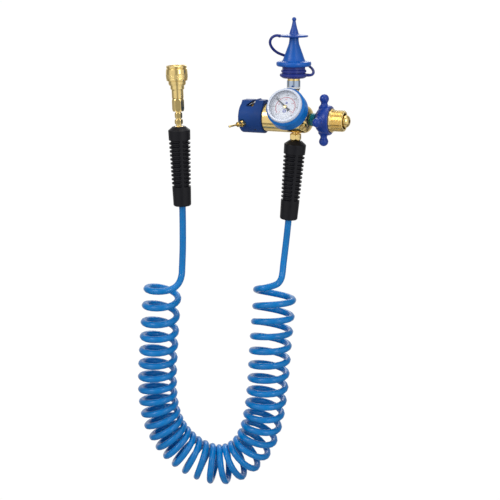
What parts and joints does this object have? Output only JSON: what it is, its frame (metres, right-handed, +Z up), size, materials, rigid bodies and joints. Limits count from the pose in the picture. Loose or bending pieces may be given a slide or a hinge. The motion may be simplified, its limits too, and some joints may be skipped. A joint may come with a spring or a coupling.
{
  "type": "balloon inflator regulator",
  "caption": "Brass gas regulator with a blue inlet handwheel, dial gauge, push nozzle, small foil nozzle and a coiled hose ending in a quick coupler.",
  "frame": {"origin": "on the inlet axis, where the thread of the inlet nut starts", "axes": "+X along the inlet axis into the cylinder valve, -Y towards the front with the gauge, +Z up through the push nozzle"},
  "size_m": [0.2447, 0.1175, 0.5732],
  "materials": {
    "brass": "polished yellow brass with fine turning marks",
    "chrome": "bright chrome plate",
    "steel": "bright spring steel",
    "dark_steel": "black oxide and black paint",
    "sintered_bronze": "grainy sintered bronze",
    "cap_plastic": "moulded royal blue nylon, light texture",
    "wheel_plastic": "moulded royal blue nylon, satin gloss",
    "teal_plastic": "teal moulded plastic",
    "white_nylon": "white nylon",
    "boot_rubber": "bright blue soft rubber",
    "nozzle_rubber": "mid blue satin rubber",
    "tip_rubber": "mid blue satin rubber",
    "tether_rubber": "dark blue satin rubber",
    "grip_rubber": "charcoal black satin rubber",
    "seal_rubber": "black nitrile",
    "hose_blue": "glossy azure polyurethane",
    "dial_white": "white printed dial",
    "pointer_black": "black painted pointer",
    "bezel_clear": "clear polycarbonate bezel",
    "lens": "clear polycarbonate lens"
  },
  "bodies": {
    "regulator": {"regulator_body": "brass", "end_cap": "cap_plastic", "cutter_blade": "steel", "cap_set_screw": "dark_steel", "cap_seal": "seal_rubber", "spring_plate": "brass", "regulating_spring": "steel", "poppet_spring": "steel", "valve_seat": "white_nylon", "inlet_nipple": "brass", "inlet_filter": "sintered_bronze", "spacer_ring": "teal_plastic", "gauge_stem": "brass", "gauge_boot": "boot_rubber", "gauge_case": "dark_steel", "bourdon_tube": "brass", "movement_plate": "brass", "gauge_dial": "dial_white", "gauge_bezel": "bezel_clear", "gauge_lens": "lens", "valve_adapter": "brass", "adapter_gasket": "seal_rubber", "white_washer": "white_nylon", "valve_barrel": "chrome", "valve_spring": "steel", "foil_valve_body": "brass", "foil_valve_spring": "steel", "relief_body": "brass", "relief_spring": "steel", "outlet_fitting": "brass", "near_ferrule": "brass", "near_grip": "grip_rubber", "hose_tail_near": "hose_blue", "hose_coil": "hose_blue", "hose_tail_far": "hose_blue", "far_grip": "grip_rubber", "far_ferrule": "brass", "far_nipple": "brass", "coupler_body": "brass", "coupler_spring": "steel", "locking_balls": "steel", "coupler_seal": "seal_rubber"},
    "handwheel": {"handwheel": "wheel_plastic", "inlet_nut": "brass"},
    "piston": {"regulating_piston": "brass", "piston_seal": "seal_rubber", "inlet_poppet": "brass"},
    "sector": {"sector_gear": "brass"},
    "pointer": {"gauge_pointer": "pointer_black", "pinion_shaft": "steel"},
    "nozzle": {"valve_plunger": "brass", "valve_seal": "seal_rubber", "tether_ring": "tether_rubber", "push_nozzle": "nozzle_rubber", "tether_strap": "tether_rubber"},
    "foil_tip": {"foil_tip": "tip_rubber"},
    "foil_nozzle": {"foil_nozzle_tube": "brass"},
    "relief": {"relief_poppet": "brass"},
    "sleeve": {"coupler_sleeve": "brass"},
    "coupler_valve": {"coupler_valve": "brass"}
  },
  "joints": [
    {"name": "handwheel_spin", "type": "hinge", "parent": "regulator", "child": "handwheel", "pos_m": [0, 0, 0], "axis": [1, 0, 0], "continuous": true},
    {"name": "piston_travel", "type": "slide", "parent": "regulator", "child": "piston", "axis": [-1, 0, 0], "range_m": [0, 0.001], "stiffness_N_per_m": 2000, "springref_m": -0.002, "deforming": ["regulating_spring", "poppet_spring"]},
    {"name": "sector_swing", "type": "hinge", "parent": "regulator", "child": "sector", "pos_m": [-0.0465, -0.03176, 0.00737], "axis": [0, 0.8829, -0.4695], "range_deg": [-31, 14]},
    {"name": "pointer_turn", "type": "hinge", "parent": "regulator", "child": "pointer", "pos_m": [-0.0465, -0.03311, 0.01761], "axis": [0, 0.8829, -0.4695], "range_deg": [-84.5, 186.5]},
    {"name": "nozzle_push", "type": "slide", "parent": "regulator", "child": "nozzle", "axis": [0, 0, -1], "range_m": [0, 0.0022], "stiffness_N_per_m": 1500, "springref_m": -0.004, "deforming": ["valve_spring"]},
    {"name": "foil_tip_lift", "type": "slide", "parent": "nozzle", "child": "foil_tip", "axis": [0, 0, 1], "range_m": [0, 0.01], "deforming": ["tether_strap"]},
    {"name": "foil_nozzle_push", "type": "slide", "parent": "regulator", "child": "foil_nozzle", "axis": [0.421, 0.9029, 0.0872], "range_m": [0, 0.002], "stiffness_N_per_m": 120, "springref_m": -0.002, "deforming": ["foil_valve_spring"]},
    {"name": "relief_lift", "type": "slide", "parent": "regulator", "child": "relief", "axis": [0, -0.9272, -0.3746], "range_m": [0, 0.0008], "stiffness_N_per_m": 100, "springref_m": -0.002, "deforming": ["relief_spring"]},
    {"name": "sleeve_slide", "type": "slide", "parent": "regulator", "child": "sleeve", "axis": [0.0259, 0.0105, -0.9996], "range_m": [0, 0.0045], "stiffness_N_per_m": 1200, "springref_m": -0.004, "deforming": ["coupler_spring"]},
    {"name": "coupler_valve_push", "type": "slide", "parent": "regulator", "child": "coupler_valve", "axis": [0.0259, 0.0105, -0.9996], "range_m": [0, 0.003], "stiffness_N_per_m": 150, "springref_m": -0.002}
  ],
  "couplings": [
    {"joint": "pointer_turn", "follows": "sector_swing", "ratio": -6}
  ]
}
